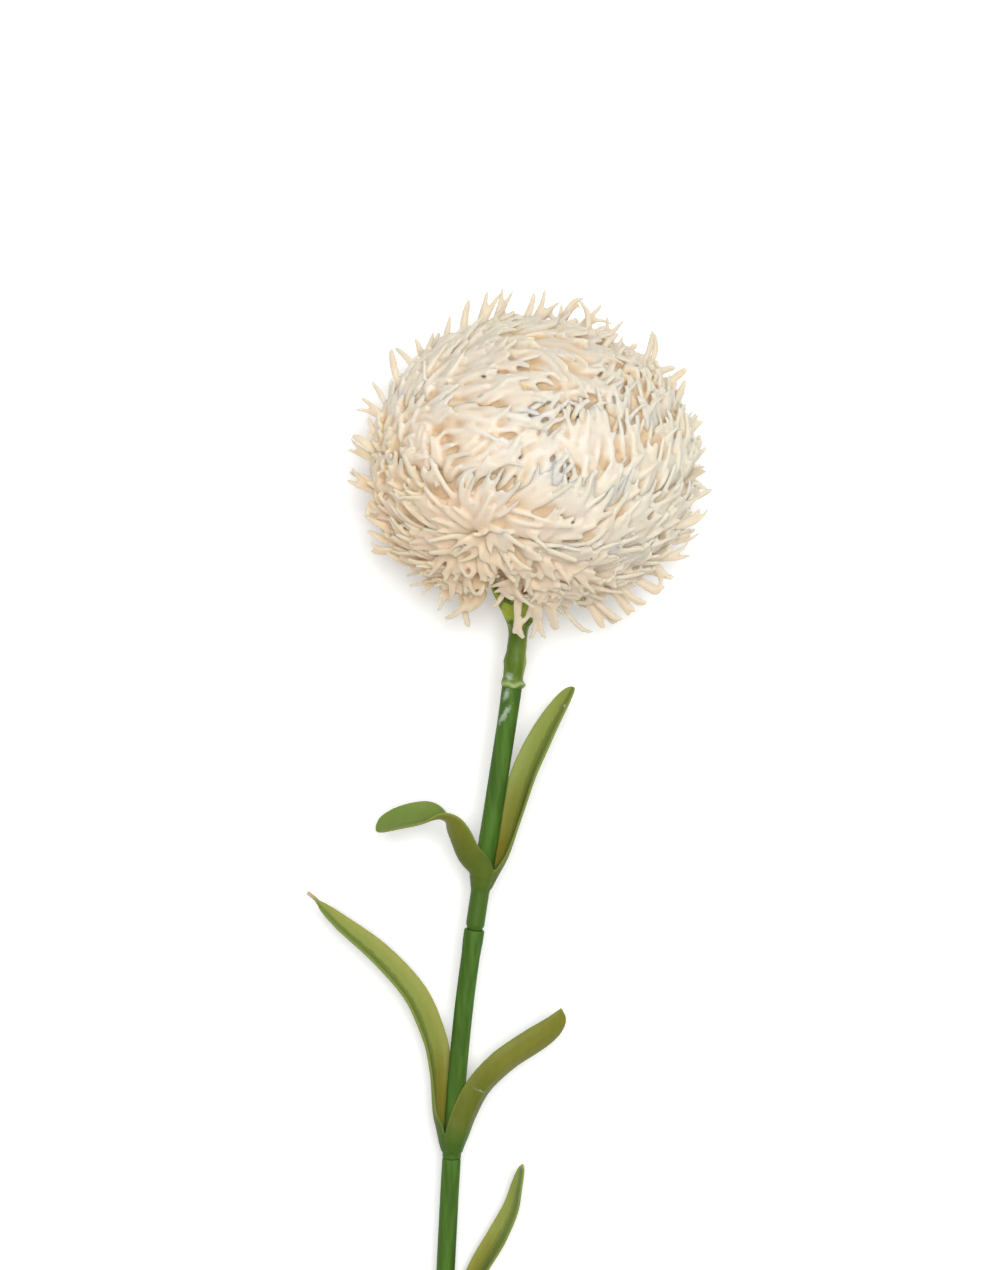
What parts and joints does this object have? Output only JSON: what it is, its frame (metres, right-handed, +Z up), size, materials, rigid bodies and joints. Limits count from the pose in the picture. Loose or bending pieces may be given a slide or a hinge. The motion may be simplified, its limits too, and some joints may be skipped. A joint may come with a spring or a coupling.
{
  "type": "artificial pincushion flower stem",
  "caption": "Artificial pincushion flower with a cream ball of forked petals on a green wired stem with leaf pairs, laid down on a surface.",
  "frame": {"origin": "under the middle of the object's box, on the surface that the flower lies on", "axes": "+Y along the stem from its cut foot to the flower head, +Z up from the surface, +X to the right seen from above with the head away"},
  "size_m": [0.1016, 0.3314, 0.0812],
  "materials": {
    "core_wire": "bare drawn steel wire, cut end",
    "stem": "moulded polyethylene, satin, mid green",
    "leaf": "moulded polyethylene, waxy satin, olive to fresh green",
    "calyx": "moulded polyethylene, satin, light green with specks of cream paint",
    "petal": "moulded polyethylene, soft satin, translucent warm cream"
  },
  "bodies": {
    "root": {"stem_wire": "core_wire", "stem_tube_foot": "stem", "stem_tube_lower": "stem", "stem_tube_middle": "stem", "stem_tube_upper": "stem", "leaf_pair_lower": "leaf", "leaf_pair_middle": "leaf", "leaf_pair_upper": "leaf", "calyx": "calyx", "flower_head": "petal"}
  },
  "joints": []
}
